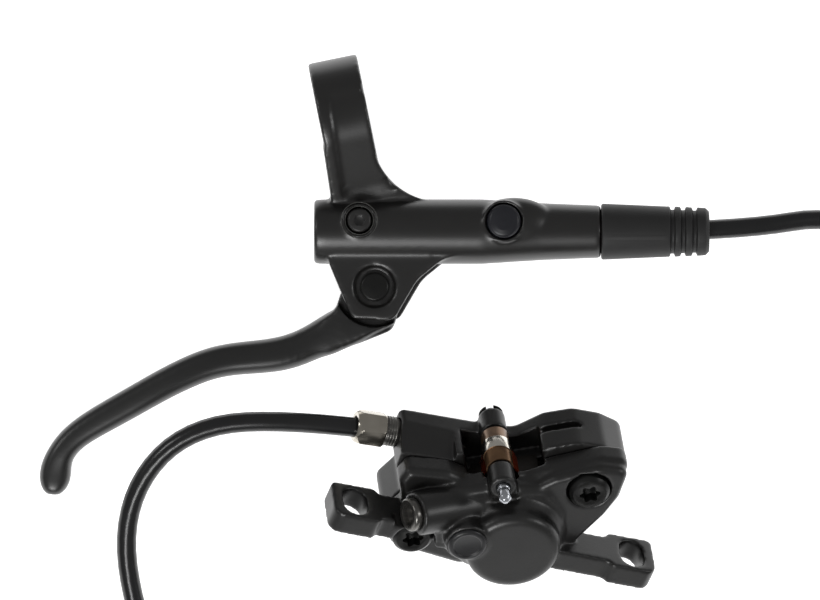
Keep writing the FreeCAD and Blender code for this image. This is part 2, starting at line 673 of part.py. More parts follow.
    lug_half = d.lug_thickness + d.clamp_slit / 2
    bolt = turned("clamp_bolt_blank", stations(
        ("0", "0"), ("0", "clamp_bolt_diameter / 2"),
        ("lug_thickness * 2 + clamp_slit - 0.3", "clamp_bolt_diameter / 2"),
        ("lug_thickness * 2 + clamp_slit - 0.3", "clamp_bolt_diameter * 0.85"),
        ("lug_thickness * 2 + clamp_slit - 0.3 + clamp_bolt_diameter", "clamp_bolt_diameter * 0.85"),
        ("lug_thickness * 2 + clamp_slit - 0.3 + clamp_bolt_diameter", "0")),
        lever * clamp * Placement(V(0, -lug_half + 0.35, -d.clamp_bolt_drop),
                                  Rotation(V(0, 0, 1), 90)), False)
    socketed("clamp_bolt", bolt, "clamp_bolt_socket", lever * clamp * Placement(
        V(0, lug_half + 2.6, -d.clamp_bolt_drop), Rotation(V(1, 0, 0), -90)))


def socketed(label, blank, across_flats, place):
    """Cuts a hexagon socket into a turned blank; the prism starts at place and runs along its Z."""
    prism = doc.addObject("Part::Prism", label + "_socket")
    prism.Polygon = 6
    prism.setExpression("Circumradius", "sizes.%s / sqrt(3)" % across_flats)
    prism.Height = 12
    prism.Placement = place
    cut = doc.addObject("Part::Cut", label)
    cut.Base = blank
    cut.Tool = prism
    nodes.append(cut)
    return cut


def nut(label, place, nose):
    """A flare nut on its own X axis: a nose that enters the fitting, then a drilled hexagon."""
    hexagon = Part.Face(Part.makePolygon([
        V(0, d.nut_across_flats / math.sqrt(3) * math.cos(math.radians(60 * i)),
          d.nut_across_flats / math.sqrt(3) * math.sin(math.radians(60 * i))) for i in range(7)]))
    body = hexagon.extrude(V(d.nut_hex_length, 0, 0))
    body = body.common(turned_shape((
        (0, 0), (0, d.nut_across_flats * 0.53), (0.5, d.nut_across_flats * 0.58),
        (d.nut_hex_length - 1.6, d.nut_across_flats * 0.58),
        (d.nut_hex_length, d.nut_across_flats * 0.46), (d.nut_hex_length, 0))))
    if nose:
        body = body.fuse(round_bar(d.nut_nose_radius, V(-nose, 0, 0), V(0, 0, 0)))
    hole = d.hose_diameter / 2 + d.running_gap * 2
    return keep(label, body.cut(round_bar(hole, V(-nose - 1, 0, 0), V(30, 0, 0))), place)


def olive(label, place):
    half = d.olive_length / 2
    body = turned_shape((
        (0, d.hose_diameter / 2 + d.running_gap), (0, d.olive_radius - 0.5),
        (half - 0.4, d.olive_radius), (half + 0.4, d.olive_radius),
        (d.olive_length, d.olive_radius - 0.5), (d.olive_length, d.hose_diameter / 2 + d.running_gap)))
    return keep(label, body, place)


def hose_end():
    """The fitting at the lever and the rubber cover over it."""
    olive("lever_olive", lever * cylinder_axis * at(d.spigot_end - 6.3, 0, 0))
    nut("lever_hose_nut", lever * cylinder_axis * at(d.spigot_end + 0.1, 0, 0), 3.2)
    start = d.cylinder_right + 0.1
    length = d.cover_length
    first = d.cover_start_radius
    last = d.cover_end_radius
    points = [(0, 4.75), (0, first - 0.3), (0.4, first)]
    taper = (first - last) / length
    for groove in (18.0, 20.7, 23.6):
        radius = first - taper * groove
        points += [(groove - 0.7, radius), (groove - 0.4, radius - d.cover_groove),
                   (groove + 0.4, radius - d.cover_groove), (groove + 0.7, radius)]
    bore = d.hose_diameter / 2 + d.loose_gap
    points += [(length - 0.9, last), (length, last - 0.9), (length, bore), (16.4, bore), (15.6, 4.75)]
    keep("hose_cover", turned_shape(points), lever * cylinder_axis * at(start, 0, 0))


# The caliper's frame: u along its body, v away from the wheel's axle, w towards the near half.
# It lies tipped on the far half's lower edge, as the brake was laid down; lean and tip say how.
tip_up = math.radians(d.caliper_tip)
roll = math.radians(d.caliper_roll)
u_axis = V(math.cos(roll), math.sin(roll), 0)
v_flat = V(-math.sin(roll) * math.cos(tip_up), math.cos(roll) * math.cos(tip_up), math.sin(tip_up))
w_flat = u_axis.cross(v_flat)
caliper_turn = lever.Rotation.multiply(Rotation(u_axis, v_flat, w_flat, "XYZ"))
ear_frame = Placement(V(0, 0, 0), Rotation(V(0, 0, 1), -d.ear_skew))


def ear_plate(side):
    """One mounting ear with its arm: outline (along the ears, w), thick along the bolts."""
    hole = d.ear_shift + side * d.hole_spacing / 2
    low = d.ear_middle - d.ear_width / 2
    high = d.ear_middle + d.ear_width / 2
    outer = hole + side * d.ear_end
    inner = hole - side * (d.ear_end - 0.3)
    root = side * 8.0
    corners = [(outer, low, 1.5), (outer, high, 3.0), (inner, high, 1.0), (inner - side, high - 1.4, 1.0),
               (root, high - 1.4, 0), (root, low + 1.6, 0), (inner - side, low + 1.6, 1.0),
               (inner, low, 1.0)]
    plate = slab(corners, 0, d.ear_plate)
    plate.Placement = Placement(V(0, d.post_face + d.ear_plate, 0), Rotation(V(1, 0, 0), 90))
    slot_end = (d.slot_length - d.slot_width) / 2
    up = V(0, 1, 0)
    for shift in (-slot_end, slot_end):
        middle = V(hole, 0, d.ear_middle + shift)
        plate = plate.cut(round_bar(d.slot_width / 2, middle - up * 20, middle + up * 20))
    plate = plate.cut(box(hole - d.slot_width / 2, hole + d.slot_width / 2, -20, 20,
                          d.ear_middle - slot_end, d.ear_middle + slot_end))
    plate.Placement = ear_frame.multiply(plate.Placement)
    return plate


def pad_pocket():
    return box(-d.window_half_width, d.window_half_width, d.window_bottom, d.window_shelf,
               -d.window_half_depth, d.window_half_depth)


def opening():
    """The way in above the pads, narrower than their pocket."""
    wide = box(-d.window_left, d.window_right, d.window_shelf - 1, 40, -d.opening_far, d.opening_near)
    tab_half = d.pad_tab_half + d.loose_gap * 2
    return wide.fuse(box(-tab_half, tab_half, d.window_shelf - 1, 40, 0, d.window_half_depth))


def rotor_slot():
    half = d.rotor_slot / 2
    return Part.makeCylinder(d.rotor_radius + 1, half * 2, V(0, -d.rotor_offset, -half))


def w_bar(u, v, radius, low, high):
    return Part.makeCylinder(radius, high - low, V(u, v, low))


def piston_bore(side):
    """The bore with its seal groove, cut from the window outwards."""
    deep = d.boss_face - d.cylinder_head_wall
    bore = w_bar(0, 0, d.caliper_piston_radius, 0, deep)
    groove = w_bar(0, 0, d.caliper_piston_radius + d.caliper_seal_depth, d.caliper_seal_place,
                   d.caliper_seal_place + d.caliper_seal_width)
    cut = bore.fuse(groove)
    if side < 0:
        cut = cut.mirror(V(0, 0, 0), V(0, 0, 1))
    return cut


def boss(radius, edge):
    """The piston boss with its flared foot, towards +w."""
    solid = Part.makeCone(radius + 4.4, radius, 7.5, V(0, 0, 4.5)).fuse(
        Part.makeCylinder(radius, d.boss_face - 11, V(0, 0, 11)))
    solid = solid.removeSplitter()
    return solid.makeFillet(edge, level_edges(solid, d.boss_face))


def nipple_frame():
    """The bleed nipple: its X axis points out, leaning up out of the body."""
    lean = math.radians(d.nipple_lean)
    rise = math.sin(math.radians(d.caliper_tip))
    out = V(-math.cos(lean), math.sin(lean) * rise, math.sin(lean) * math.sqrt(1 - rise * rise))
    return Placement(V(d.nipple_u, d.nipple_v, d.nipple_w), Rotation(V(1, 0, 0), out))


def port_frame():
    """The hose port: its X axis points out along the hose."""
    return Placement(V(d.port_u, d.port_v, d.port_w), Rotation(V(0, 0, 1), d.port_angle))


def outer_half():
    plate = slab((
        (-25.5, 13, 1), (-25.6, 21.0, 2.0), (-22.6, 24.6, 2.0), (-12.5, 21.0, 3), (-6, 15.8, 2),
        (6, 14.9, 2), (13, 16.4, 4), (25.6, 17.4, 3), (32.6, 14.8, 2.5), (28.7, 5.6, 3),
        (24.4, 0.2, 3), (14, -9.5, 2), (-14, -10.5, 3), (-30.0, 0, 4), (-31.2, 8, 3)),
        0, d.near_slab)
    plate = bevelled(plate, d.near_slab, 1.2)
    left_boss = w_bar(d.left_bolt_u, d.left_bolt_v, d.bolt_boss_radius, 0, d.left_bolt_seat)
    right_boss = w_bar(d.right_bolt_u, d.right_bolt_v, d.bolt_boss_radius, 0, d.right_bolt_seat)
    middle = slab((
        (-24, 8, 3), (-22.5, 17.5, 3), (-4, 17.8, 2), (6, 14.6, 3), (12, 13, 3), (15, 4, 4),
        (14, -8, 3), (-12, -9, 3)), 3, 9.4)
    middle = bevelled(middle, 9.4, 1.4)
    wing = slab((
        (4, 13.4, 2), (6.6, 13.6, 2), (13.2, 16.0, 3), (25.0, 17.1, 3), (32.0, 14.4, 2.5),
        (28.4, 5.9, 3), (24.0, 0.6, 3), (14, -8.6, 3), (6, -6, 2)), 3, d.wing_face)
    wing = bevelled(wing, d.wing_face, 1.0)
    nipple = nipple_frame()
    nipple_boss = round_bar(d.nipple_boss_radius, nipple.multVec(V(0, 0, 0)),
                            nipple.multVec(V(-d.nipple_boss_length, 0, 0)))
    plug_boss = w_bar(d.caliper_plug_u, d.caliper_plug_v, d.caliper_plug_radius + 0.7, 5,
                      d.caliper_plug_face)
    lug = w_bar(0, d.pin_v, d.lug_radius, d.near_lug_start, d.near_lug_end)
    lug_web = box(-d.lug_radius, d.lug_radius, 8, d.pin_v, d.near_lug_start, d.near_lug_end - 0.6)
    near_boss = boss(d.boss_radius, 2.4)
    body = plate.fuse([middle, wing, near_boss, left_boss, right_boss, nipple_boss, plug_boss])
    body = body.cut(opening()).fuse([lug, lug_web])
    body = body.common(box(-60, 60, -40, 40, 0, 30)).cut(rotor_slot())
    body = body.fuse([ear_plate(-1), ear_plate(1)])
    right_bolt = (d.right_bolt_u, d.right_bolt_v)
    left_bolt = (d.left_bolt_u, d.left_bolt_v)
    shank = d.body_bolt_radius + d.running_gap * 2
    body = body.cut([
        pad_pocket(), piston_bore(1),
        w_bar(right_bolt[0], right_bolt[1], shank, -1, 30),
        w_bar(left_bolt[0], left_bolt[1], shank, -1, 30),
        w_bar(right_bolt[0], right_bolt[1], d.body_bolt_head_radius + 0.4, d.right_bolt_seat, 30),
        w_bar(left_bolt[0], left_bolt[1], d.body_bolt_head_radius + 0.4, d.left_bolt_seat, 30),
        w_bar(0, d.pin_v, d.pin_radius + d.running_gap, 0, 30),
        round_bar(d.nipple_radius - 0.6, nipple.multVec(V(0, 0, 0)), nipple.multVec(V(-9, 0, 0))),
        round_bar(d.passage_radius, nipple.multVec(V(-8, 0, 0)), nipple.multVec(V(-14, 0, 0))),
        round_bar(d.nipple_radius + d.loose_gap, nipple.multVec(V(0, 0, 0)),
                  nipple.multVec(V(4, 0, 0))),
        w_bar(d.caliper_plug_u, d.caliper_plug_v, d.caliper_plug_radius - 0.9,
              d.caliper_plug_face - d.caliper_plug_seat, d.caliper_plug_face + 1),
    ])
    return body.removeSplitter()


def inner_half():
    plate = slab((
        (-22.4, 28.3, 1.6), (-5.2, 20.2, 4), (5.0, 15.9, 4), (12.9, 19.0, 5), (20.4, 19.0, 5),
        (27.0, 15.9, 5), (32.0, 11.4, 3), (31.2, 7.4, 3), (28.4, 3.4, 3), (14, -9.5, 2),
        (-14, -10.5, 3), (-30.0, 0, 4), (-31.2, 8, 3), (-25.5, 13, 1), (-25.6, 21.0, 1.4)),
        -d.far_slab, 0)
    plate = bevelled(plate, -d.far_slab, 0.8)
    lug = w_bar(0, d.pin_v, d.lug_radius, -d.far_slab, -d.far_lug_start)
    far_boss = boss(d.boss_radius, 1.6).mirror(V(0, 0, 0), V(0, 0, 1))
    body = plate.fuse(far_boss).cut(opening()).fuse(lug)
    # The near corner of the port block is planed off towards the parting face.
    corner = V(-22.4, 28.3, -9.0)
    edge = (corner - V(-9.9, 22.7, -9.0)).normalize()
    facing = edge.cross(V(-23.2, 25.5, 0) - corner).normalize()
    wedge = Part.makeBox(16.7, 20, 10)
    wedge.Placement = Placement(corner - edge * 13.7, Rotation(edge, facing.cross(edge), facing, "XYZ"))
    groove_top = 30
    groove_end = round_bar(d.wing_groove_half, V(d.wing_groove_end, d.wing_groove_floor, d.wing_groove_w),
                           V(d.wing_groove_end, groove_top, d.wing_groove_w))
    wing_groove = box(d.window_right - 3, d.wing_groove_end, d.wing_groove_floor, groove_top,
                      d.wing_groove_w - d.wing_groove_half, d.wing_groove_w + d.wing_groove_half)
    port = port_frame()
    port_hole = round_bar(d.olive_radius + d.running_gap * 2, V(-d.port_depth, 0, 0), V(20, 0, 0))
    port_hole.Placement = port
    drilling = round_bar(d.passage_radius, V(-d.port_depth - 8, 0, 0), V(0, 0, 0))
    drilling.Placement = port
    groove = w_bar(d.seal_u, d.seal_v, 3.1, -1.5, 1).cut(w_bar(d.seal_u, d.seal_v, 1.3, -2, 2))
    body = body.cut([
        pad_pocket(), rotor_slot(), piston_bore(-1), port_hole, drilling, groove, wedge,
        wing_groove, groove_end,
        w_bar(d.right_bolt_u, d.right_bolt_v, d.body_bolt_radius + d.running_gap,
              -d.body_bolt_reach - 0.6, 1),
        w_bar(d.left_bolt_u, d.left_bolt_v, d.body_bolt_radius + d.running_gap,
              -d.body_bolt_reach - 0.6, 1),
        w_bar(0, d.pin_v, d.pin_radius + d.running_gap, -30, 0),
    ])
    return body.removeSplitter()


def caliper_place(*shapes):
    """Where the caliper lies: its lowest point on the floor, its piston axis at its place."""
    lowest = 1e9
    for shape in shapes:
        copy = shape.copy()
        copy.Placement = Placement(V(0, 0, 0), caliper_turn)
        lowest = min(lowest, copy.optimalBoundingBox(False).ZMin)
    rest = lever.multVec(V(d.caliper_x, d.caliper_y, 0))
    up = lever.Rotation.multVec(V(0, 0, 1))
    lift = (floor - lowest - rest.z) / up.z
    print("caliper stands at", rest + up * lift)
    return Placement(rest + up * lift, caliper_turn)


def pad_outline(tab):
    half = d.pad_half_width
    if not tab:
        return ((-half, d.pad_bottom, 2), (-half, -d.pad_bottom - 1, 2), (half, -d.pad_bottom - 1, 2),
                (half, d.pad_bottom, 2))
    eye = d.lug_radius - 0.5
    top = d.pin_v + eye
    return ((-half, d.pad_bottom, 2), (-half, d.pad_top - 2.5, 1.5), (-half + 3.5, d.pad_top, 1.5),
            (-eye, d.pad_top, 0.6), (-eye, top, eye * 0.95), (eye, top, eye * 0.95),
            (eye, d.pad_top, 0.6), (half - 3.5, d.pad_top, 1.5), (half, d.pad_top - 2.5, 1.5),
            (half, d.pad_bottom, 2))


def caliper_pieces():
    near = outer_half()
    far = inner_half()
    caliper = caliper_place(near, far)
    keep("outer_half", near, caliper)
    keep("inner_half", far, caliper)
    for side, label in ((1, "outer"), (-1, "inner")):
        face = d.rotor_gap
        back = face + d.friction_thickness
        rear = back + d.plate_thickness
        friction = slab(pad_outline(False), face, back)
        plate = slab(pad_outline(True), back, rear)
        plate = plate.cut(w_bar(0, d.pin_v, d.pin_radius + d.loose_gap, back - 1, rear + 1))
        turn = Placement() if side > 0 else Placement(V(0, 0, 0), Rotation(V(0, 1, 0), 180))
        keep(label + "_pad_friction", friction, caliper * turn)
        keep(label + "_pad_plate", plate, caliper * turn)
        turned(label + "_piston", stations(
            ("0", "caliper_piston_radius - 3"), ("0", "caliper_piston_radius - running_gap - 0.5"),
            ("0.5", "caliper_piston_radius - running_gap"),
            ("boss_face - cylinder_head_wall - rotor_gap - friction_thickness - plate_thickness - 0.5",
             "caliper_piston_radius - running_gap"),
            ("boss_face - cylinder_head_wall - rotor_gap - friction_thickness - plate_thickness - 0.5",
             "0"), ("5.0", "0"), ("5.0", "caliper_piston_radius - 3")),
            caliper * turn * at(0, 0, rear + 0.03) * X_TO_Z)
        turned(label + "_piston_seal", stations(
            ("0.1", "caliper_piston_radius"), ("0.1", "caliper_piston_radius + caliper_seal_depth - 0.05"),
            ("caliper_seal_width - 0.1", "caliper_piston_radius + caliper_seal_depth - 0.05"),
            ("caliper_seal_width - 0.1", "caliper_piston_radius")),
            caliper * turn * at(0, 0, d.caliper_seal_place) * X_TO_Z)

    for label, u, v, seat in (("body_bolt_right", d.right_bolt_u, d.right_bolt_v, "right_bolt_seat"),
                              ("body_bolt_left", d.left_bolt_u, d.left_bolt_v, "left_bolt_seat")):
        under = "body_bolt_reach + " + seat
        blank = turned(label + "_blank", stations(
            ("0", "0"), ("0", "body_bolt_radius - 0.5"), ("0.5", "body_bolt_radius"),
            (under, "body_bolt_radius"), (under, "body_bolt_head_radius"),
            (under + " + body_bolt_head_height - 0.8", "body_bolt_head_radius"),
            (under + " + body_bolt_head_height", "body_bolt_head_radius - 0.9"),
            (under + " + body_bolt_head_height", "0")),
            caliper * at(u, v, -d.body_bolt_reach) * X_TO_Z, False)
        height = getattr(d, seat) + d.body_bolt_head_height - 2.4
        socketed(label, blank, "body_bolt_socket", caliper * at(u, v, height))

    turned("pad_pin", stations(
        ("0", "0"), ("0", "pin_radius - 0.3"), ("0.3", "pin_radius"), ("0.9", "pin_radius"),
        ("0.9", "pin_radius - 0.4"), ("1.6", "pin_radius - 0.4"), ("1.6", "pin_radius"),
        ("far_slab + 2.2 + near_lug_end + 0.6", "pin_radius"),
        ("far_slab + 2.2 + near_lug_end + 0.9", "pin_radius - 0.3"),
        ("far_slab + 2.2 + near_lug_end + 1.5", "pin_radius - 0.3"),
        ("far_slab + 2.2 + near_lug_end + 1.8", "pin_radius"),
        ("far_slab + 2.2 + pin_end - 0.9", "pin_radius"),
        ("far_slab + 2.2 + pin_end", "pin_radius - 0.9"),
        ("far_slab + 2.2 + pin_end", "0")),
        caliper * at(0, d.pin_v, -d.far_slab - 2.2) * X_TO_Z)
    clip = Part.makeCylinder(d.pin_radius + 1.5, 0.5).cut(Part.makeCylinder(d.pin_radius - 0.37, 0.5))
    clip = clip.cut(box(-0.9, 0.9, 0, 9, -1, 2))
    keep("pin_clip", clip, caliper * at(0, d.pin_v, -d.far_slab - 1.2))

    keep("pad_spring", pad_spring(), caliper)
    turned("bleed_nipple", stations(
        ("0", "nipple_radius - 1.6"), ("0", "nipple_radius - 0.4"), ("0.4", "nipple_radius"),
        ("2.0", "nipple_radius"), ("2.0", "nipple_radius - 0.65"), ("9.5", "nipple_radius - 0.65"),
        ("9.5", "0"), ("1.6", "0"), ("1.6", "nipple_radius - 1.6")),
        caliper * nipple_frame() * at(2.05, 0, 0) * Placement(V(0, 0, 0), Rotation(V(0, 0, 1), 180)))
    turned("caliper_plug", stations(
        ("0", "0"), ("0", "caliper_plug_radius - 0.95"),
        ("caliper_plug_seat", "caliper_plug_radius - 0.95"),
        ("caliper_plug_seat", "caliper_plug_radius"),
        ("caliper_plug_seat + 0.6", "caliper_plug_radius"),
        ("caliper_plug_seat + 1.0", "caliper_plug_radius - 0.5"),
        ("caliper_plug_seat + 1.0", "caliper_plug_radius - 1.3"),
        ("caliper_plug_seat + 0.7", "caliper_plug_radius - 1.5"),
        ("caliper_plug_seat + 0.7", "0")),
        caliper * at(d.caliper_plug_u, d.caliper_plug_v, d.caliper_plug_face - d.caliper_plug_seat)
        * X_TO_Z)
    keep("passage_seal", seal_ring(2.2, 0.68), caliper * at(d.seal_u, d.seal_v, -0.74))
    port = port_frame()
    olive("caliper_olive", caliper * port * at(-d.port_depth + 0.4, 0, 0))
    collar = turned_shape((
        (3.5 - d.port_depth - d.port_stand, d.hose_diameter / 2 + 0.1),
        (3.5 - d.port_depth - d.port_stand, d.nut_nose_radius),
        (0.05, d.nut_nose_radius), (0.05, d.port_collar_radius), (3.2, d.port_collar_radius),
        (3.2, d.hose_diameter / 2 + 0.1)))
    keep("port_collar", collar, caliper * port * at(d.port_stand, 0, 0))
    nut("caliper_hose_nut", caliper * port * at(d.port_stand + 3.3, 0, 0), 0)
    return caliper


def pad_spring():
    """A sheet saddle over the pad pin, with two wings that press on the pads, folded from one strip."""
    inner = d.lug_radius - 0.35
    outer = inner + d.spring_sheet
    saddle = w_bar(0, d.pin_v, outer, -6.8, 5.2).cut(w_bar(0, d.pin_v, inner, -9, 9))
    saddle = saddle.cut(box(-9, 9, 0, d.pin_v - 0.4, -20, 20))
    band = w_bar(0, d.pin_v, outer + d.spring_band, -3.2, 0.6).cut(w_bar(0, d.pin_v, inner, -9, 9))
    band = band.cut(box(-9, 9, 0, d.pin_v - 0.4, -20, 20))
    wings = []
    for side, foot in ((-1, 7.4), (1, 9.6)):
        knee = side * (outer + 1.0)
        foot *= side
        path = [V(side * inner, d.pin_v + 0.3, 0), V(side * outer, d.pin_v + 0.3, 0),
                V(side * outer, d.pin_v - 2.2, 0), V(knee + side * 0.2, 13.5, 0),
                V(foot, 13.1, 0), V(foot, 13.1 - d.spring_sheet, 0),
                V(knee - side * 0.2, 13.5 - d.spring_sheet, 0), V(side * inner, d.pin_v - 2.2, 0),
                V(side * inner, d.pin_v + 0.3, 0)]
        wing = Part.Face(Part.makePolygon(path)).extrude(V(0, 0, d.opening_near + 4.4))
        wing.translate(V(0, 0, -4.8))
        wings.append(wing)
    return saddle.fuse([band] + wings).removeSplitter()


def hose_run(label, points):
    """The hose along straight runs joined by tangent arcs, each as large as its runs allow."""
    edges = []
    start = points[0]
    for before, corner, after in zip(points, points[1:], points[2:]):
        back = before - corner
        ahead = after - corner
        turn = math.pi - back.getAngle(ahead)
        run = min(back.Length, ahead.Length)
        reach = 0.45 * run
        radius = reach / math.tan(turn / 2)
        back.normalize()
        ahead.normalize()
        inward = back + ahead
        inward.normalize()
        middle = corner + inward * (radius / math.cos(turn / 2) - radius)
        edges.append(Part.LineSegment(start, corner + back * reach).toShape())
        edges.append(Part.Arc(corner + back * reach, middle, corner + ahead * reach).toShape())
        start = corner + ahead * reach
        print(label, "run", round(run, 1), "turn", round(math.degrees(turn), 1), "radius", round(radius, 1))
    edges.append(Part.LineSegment(start, points[-1]).toShape())
    path = Part.Wire(edges)
    heading = points[1] - points[0]
    section = Part.Wire(Part.makeCircle(d.hose_diameter / 2, points[0], heading))
    tube = path.makePipeShell([section], True, False)
    expected = path.Length * math.pi * d.hose_diameter ** 2 / 4
    print(label, "length", round(path.Length, 1), "volume ratio", round(tube.Volume / expected, 4))
    return tube


def hose():
    """The hose lies on the floor between its two fittings, its spare length in one round coil."""
    size = d.hose_diameter
    rest = floor + size / 2
    start = lever.multVec(V(d.spigot_end - 6.0, -d.cylinder_offset, 0))
    lever_run = [
        start, V(99.0, start.y, start.z), V(128.0, -22.5, -12.5), V(150.0, -39.0, rest),
        V(153.5, -69.0, rest), V(149.5, -99.0, rest), V(146.5, -129.0, rest), V(146.5, -152.0, rest)]
    coil_middle = V(118.0, -160.0, floor)
    outer = d.coil_outer_turn
    inner = outer - size
    rise = size * math.sqrt(3) / 2
    ring = Part.Face(Part.makePolygon([
        V(inner - size / 2, 0, 0), V(outer + size / 2, 0, 0), V(outer + size / 2, 0, size * 0.6),
        V((outer + inner) / 2 + size / 2, 0, size / 2 + rise),
        V((outer + inner) / 2 + size / 4, 0, size + rise), V((outer + inner) / 2 - size / 4, 0, size + rise),
        V((outer + inner) / 2 - size / 2, 0, size / 2 + rise), V(inner - size / 2, 0, size * 0.6),
        V(inner - size / 2, 0, 0)])).revolve(V(0, 0, 0), V(0, 0, 1), 360)
    ring.translate(coil_middle)
    keep("hose_coil", ring, Placement())
    port = caliper * port_frame()
    inlet = port.multVec(V(-d.port_depth + 0.6, 0, 0))
    mouth = port.multVec(V(d.port_stand + 3.3 + d.nut_hex_length + 12.5, 0, 0))
    middle_turn = (outer + inner) / 2
    caliper_run = [
        V(112.0, coil_middle.y - middle_turn, rest + rise), V(78.0, -188.0, rest + 1.5),
        V(44.0, -189.0, rest), V(14.0, -186.0, rest), V(-14.0, -175.0, rest),
        V(-37.0, -156.0, -15.0), V(-52.0, -130.0, -6.0), V(-56.0, -101.0, 6.0),
        V(-40.0, -81.5, 16.0), mouth, inlet]
    lever_tube = hose_run("hose_lever_run", lever_run).cut(ring)
    caliper_tube = hose_run("hose_caliper_run", caliper_run).cut(ring)
    keep("hose_lever_run", lever_tube, Placement())
    keep("hose_caliper_run", caliper_tube, Placement())
    print("port inlet", inlet, "mouth", mouth, "floor", floor)


lever_pieces()
hose_end()
caliper = caliper_pieces()
hose()

doc.recompute()
for item in doc.Objects:
    if "Invalid" in item.State or "Error" in item.State:
        raise RuntimeError("%s did not build: %s" % (item.Label, item.State))
for piece in nodes:
    if piece.Shape.isNull() or not piece.Shape.isValid():
        raise RuntimeError("%s has no valid shape" % piece.Label)
os.makedirs("parts", exist_ok=True)
for piece in nodes:
    piece.Shape.exportStep("parts/%s.step" % piece.Label)
print(len(nodes), "pieces")
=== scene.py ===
import bpy
import json
import math
from mathutils import Matrix, Vector


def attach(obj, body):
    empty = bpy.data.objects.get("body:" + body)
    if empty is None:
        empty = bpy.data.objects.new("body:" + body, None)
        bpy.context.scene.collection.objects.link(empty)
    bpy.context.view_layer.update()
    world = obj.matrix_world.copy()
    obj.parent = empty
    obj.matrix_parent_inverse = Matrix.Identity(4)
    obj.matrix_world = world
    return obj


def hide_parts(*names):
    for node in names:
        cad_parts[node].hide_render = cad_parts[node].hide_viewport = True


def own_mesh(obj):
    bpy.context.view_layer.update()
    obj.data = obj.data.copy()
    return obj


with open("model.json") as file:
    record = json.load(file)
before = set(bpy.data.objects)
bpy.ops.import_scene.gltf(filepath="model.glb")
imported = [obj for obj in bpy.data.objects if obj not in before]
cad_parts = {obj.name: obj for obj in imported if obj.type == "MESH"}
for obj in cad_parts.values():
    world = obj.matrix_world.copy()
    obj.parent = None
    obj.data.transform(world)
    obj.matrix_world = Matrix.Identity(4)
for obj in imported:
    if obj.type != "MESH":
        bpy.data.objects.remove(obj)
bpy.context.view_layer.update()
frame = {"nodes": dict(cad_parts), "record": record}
bpy.ops.object.select_all(action="DESELECT")
nodeObjects = frame["nodes"]
print("frame loaded:", len(nodeObjects), "nodes")

camera = {
    "tilt": 9,              # degrees off straight down, as the lever lies
    "aim": (0.0168, -0.04603, -0.00729),
    "distance": 2.4,
    "lens": 416.2,          # 207.6 mm across the frame at the lever
    "sensor": 36,
    "clip": (0.05, 20),
}


def makeCamera():
    turn = math.radians(camera["tilt"])
    away = Vector((0, -math.sin(turn), math.cos(turn))) * camera["distance"]
    bpy.ops.object.camera_add(location=Vector(camera["aim"]) + away, rotation=(turn, 0, 0))
    eye = bpy.context.object
    eye.name = "photo_camera"
    eye.data.lens = camera["lens"]
    eye.data.sensor_width = camera["sensor"]
    eye.data.clip_start, eye.data.clip_end = camera["clip"]
    bpy.context.scene.camera = eye


makeCamera()
print("camera set")

# the hose: points of its route, in metres, on both sides of the coil
hose = {
    "diameter": 0.005,
    "restHeight": -0.018744,
    "fromLever": (
        (0.0665, -0.02894, -0.004583), (0.0990, -0.02894, -0.004583), (0.1280, -0.0225, -0.0125),
        (0.1500, -0.0390, -0.018744), (0.1535, -0.0690, -0.018744), (0.1495, -0.0990, -0.018744),
        (0.1465, -0.1290, -0.018744), (0.1465, -0.1520, -0.018744)),
    "toCaliper": (
        (0.1120, -0.1860, -0.014414), (0.0780, -0.1880, -0.017244), (0.0440, -0.1890, -0.018744),
        (0.0140, -0.1860, -0.018744), (-0.0140, -0.1750, -0.018744), (-0.0370, -0.1560, -0.0150),
        (-0.0520, -0.1300, -0.0060), (-0.0560, -0.1010, 0.0060), (-0.0400, -0.0815, 0.0160),
        (-0.008956, -0.079790, 0.016055), (0.022336, -0.083151, 0.006639)),
    "coilMiddle": (0.118, -0.160),
    "coilRadii": (0.0285, 0.0235, 0.0260),
    "coilTurns": 3.25,
    "pointsPerTurn": 24,
    "exit": (0.0925, -0.02894, -0.004583),
    "length": 1.04,
}


def softStep(value):
    value = min(1.0, max(0.0, value))
    return value * value * (3 - 2 * value)


def coilPoints():
    outer, inner, top = hose["coilRadii"]
    climb = hose["diameter"] * math.sqrt(3) / 2
    points = []
    count = int(hose["coilTurns"] * hose["pointsPerTurn"])
    for step in range(1, count):
        turn = step / hose["pointsPerTurn"]
        inward = softStep((turn - 0.8) / 0.4)      # second turn lies inside the first
        over = softStep((turn - 1.8) / 0.4)        # third turn lies on both
        radius = outer + (inner - outer) * inward + (top - inner) * over
        angle = -2 * math.pi * turn
        points.append((hose["coilMiddle"][0] + radius * math.cos(angle),
                       hose["coilMiddle"][1] + radius * math.sin(angle),
                       hose["restHeight"] + climb * over))
    return points


def makeHose():
    points = list(hose["fromLever"]) + coilPoints() + list(hose["toCaliper"])
    line = bpy.data.curves.new("brake_hose", "CURVE")
    line.dimensions = "3D"
    spline = line.splines.new("NURBS")
    spline.points.add(len(points) - 1)
    for point, place in zip(spline.points, points):
        point.co = (*place, 1)
        point.radius = hose["diameter"] / 2
    spline.order_u = 3
    spline.use_endpoint_u = True
    spline.resolution_u = 8
    line.bevel_depth = 1        # times each point's radius
    line.bevel_resolution = 6
    line.use_fill_caps = True
    piece = bpy.data.objects.new("brake_hose", line)
    bpy.context.collection.objects.link(piece)
    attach(piece, "brake")
    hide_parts("hose_lever_run", "hose_coil", "hose_caliper_run")
    return piece


brakeHose = makeHose()
print("hose laid")


def toLinear(code):         # sRGB hex to linear
    values = [int(code[i:i + 2], 16) / 255 for i in (0, 2, 4)]
    return tuple(v / 12.92 if v <= 0.04045 else ((v + 0.055) / 1.055) ** 2.4 for v in values) + (1,)


